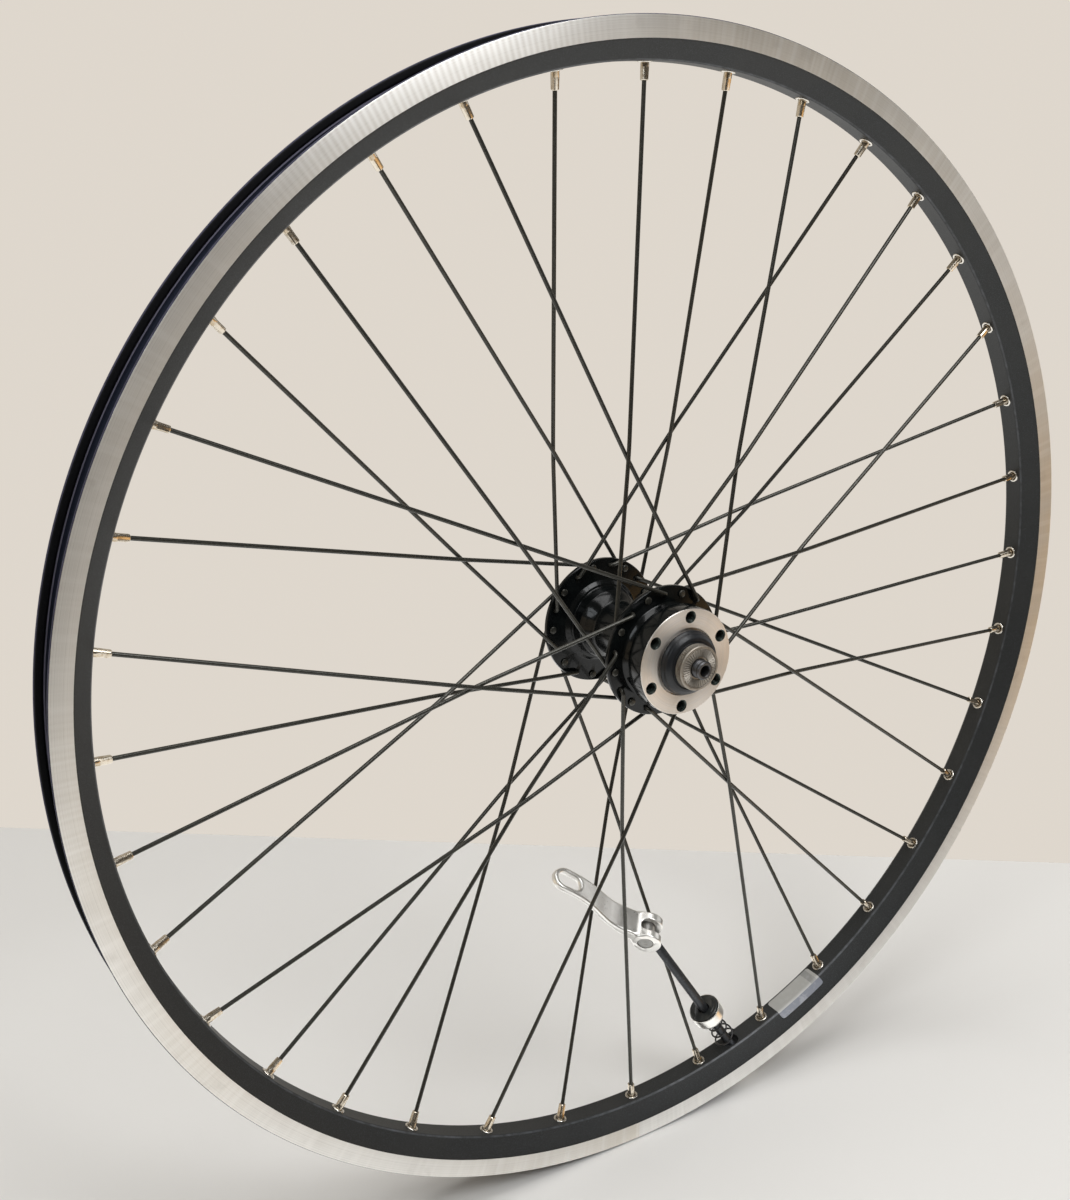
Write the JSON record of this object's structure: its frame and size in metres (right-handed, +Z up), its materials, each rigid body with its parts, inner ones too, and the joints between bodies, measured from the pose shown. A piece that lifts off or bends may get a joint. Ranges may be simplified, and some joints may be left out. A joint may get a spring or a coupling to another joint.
{
  "type": "bicycle front wheel",
  "caption": "Spoked front wheel with a double-wall rim, a disc-brake hub on cup-and-cone bearings, and its quick-release skewer stored in the valve hole.",
  "frame": {"origin": "centre of the wheel, on the axle's axis, midway between the two locknut faces", "axes": "+Y along the axle from the disc-brake side to the far side, +Z up, +X along the floor"},
  "size_m": [0.572, 0.108, 0.572],
  "materials": {
    "rim_black": "black anodised, semi-matt",
    "rim_track": "machined bare aluminium",
    "rim_label": "clear grey film sticker, blank",
    "spoke_black": "black oxide wire",
    "nipple_nickel": "nickel plated brass",
    "eyelet_steel": "plated steel ferrule",
    "hub_gloss_black": "gloss black",
    "disc_seat": "machined bare aluminium",
    "axle_steel": "dark steel",
    "bearing_steel": "ground steel",
    "locknut_steel": "bronze-tinted plated steel",
    "black_rubber": "moulded rubber",
    "skewer_black": "black plated steel",
    "spring_black": "black spring wire",
    "polished_alloy": "polished",
    "black_plastic": "moulded nylon"
  },
  "bodies": {
    "axle_set": {"axle": "axle_steel", "cone_far_side": "bearing_steel", "cone_disc_side": "bearing_steel", "locknut_far_side": "locknut_steel", "locknut_disc_side": "locknut_steel", "dust_boot_far_side": "black_rubber", "dust_boot_disc_side": "black_rubber"},
    "wheel": {"rim": "rim_black", "hub_shell": "hub_gloss_black", "bearing_cup_far_side": "bearing_steel", "bearing_cup_disc_side": "bearing_steel", "seal_ring_far_side": "black_rubber", "seal_ring_disc_side": "black_rubber", "spoke_01": "spoke_black", "spoke_02": "spoke_black", "spoke_03": "spoke_black", "spoke_04": "spoke_black", "spoke_05": "spoke_black", "spoke_06": "spoke_black", "spoke_07": "spoke_black", "spoke_08": "spoke_black", "spoke_09": "spoke_black", "spoke_10": "spoke_black", "spoke_11": "spoke_black", "spoke_12": "spoke_black", "spoke_13": "spoke_black", "spoke_14": "spoke_black", "spoke_15": "spoke_black", "spoke_16": "spoke_black", "spoke_17": "spoke_black", "spoke_18": "spoke_black", "spoke_19": "spoke_black", "spoke_20": "spoke_black", "spoke_21": "spoke_black", "spoke_22": "spoke_black", "spoke_23": "spoke_black", "spoke_24": "spoke_black", "spoke_25": "spoke_black", "spoke_26": "spoke_black", "spoke_27": "spoke_black", "spoke_28": "spoke_black", "spoke_29": "spoke_black", "spoke_30": "spoke_black", "spoke_31": "spoke_black", "spoke_32": "spoke_black", "spoke_33": "spoke_black", "spoke_34": "spoke_black", "spoke_35": "spoke_black", "spoke_36": "spoke_black", "skewer_rod": "skewer_black", "skewer_barrel": "polished_alloy", "lever_spring": "spring_black", "nut_spring": "spring_black"},
    "ball_cage_disc": {"ball_cage_disc_side": "bearing_steel"},
    "ball_cage_far": {"ball_cage_far_side": "bearing_steel"},
    "lever": {"skewer_lever": "polished_alloy"},
    "sliding_cup": {"lever_cup": "polished_alloy", "cup_liner": "black_plastic"},
    "nut": {"skewer_nut": "polished_alloy"}
  },
  "joints": [
    {"name": "wheel_spin", "type": "hinge", "parent": "axle_set", "child": "wheel", "pos_m": [0, 0, 0], "axis": [0, 1, 0], "continuous": true},
    {"name": "disc_side_balls", "type": "hinge", "parent": "axle_set", "child": "ball_cage_disc", "pos_m": [0, -0.035, 0], "axis": [0, 1, 0], "continuous": true},
    {"name": "far_side_balls", "type": "hinge", "parent": "axle_set", "child": "ball_cage_far", "pos_m": [0, 0.035, 0], "axis": [0, 1, 0], "continuous": true},
    {"name": "lever_swing", "type": "hinge", "parent": "wheel", "child": "lever", "pos_m": [0.01039, 0, -0.16775], "axis": [0.6042, 0.6884, 0.4014], "range_deg": [0, 25]},
    {"name": "cup_slide", "type": "slide", "parent": "wheel", "child": "sliding_cup", "axis": [-0.5534, 0, 0.8329], "range_m": [0, 0.0085]},
    {"name": "nut_turn", "type": "hinge", "parent": "wheel", "child": "nut", "pos_m": [0.08155, 0, -0.27486], "axis": [-0.5534, 0, 0.8329], "continuous": true}
  ],
  "couplings": [
    {"joint": "disc_side_balls", "follows": "wheel_spin", "ratio": 0.597},
    {"joint": "far_side_balls", "follows": "wheel_spin", "ratio": 0.597}
  ]
}
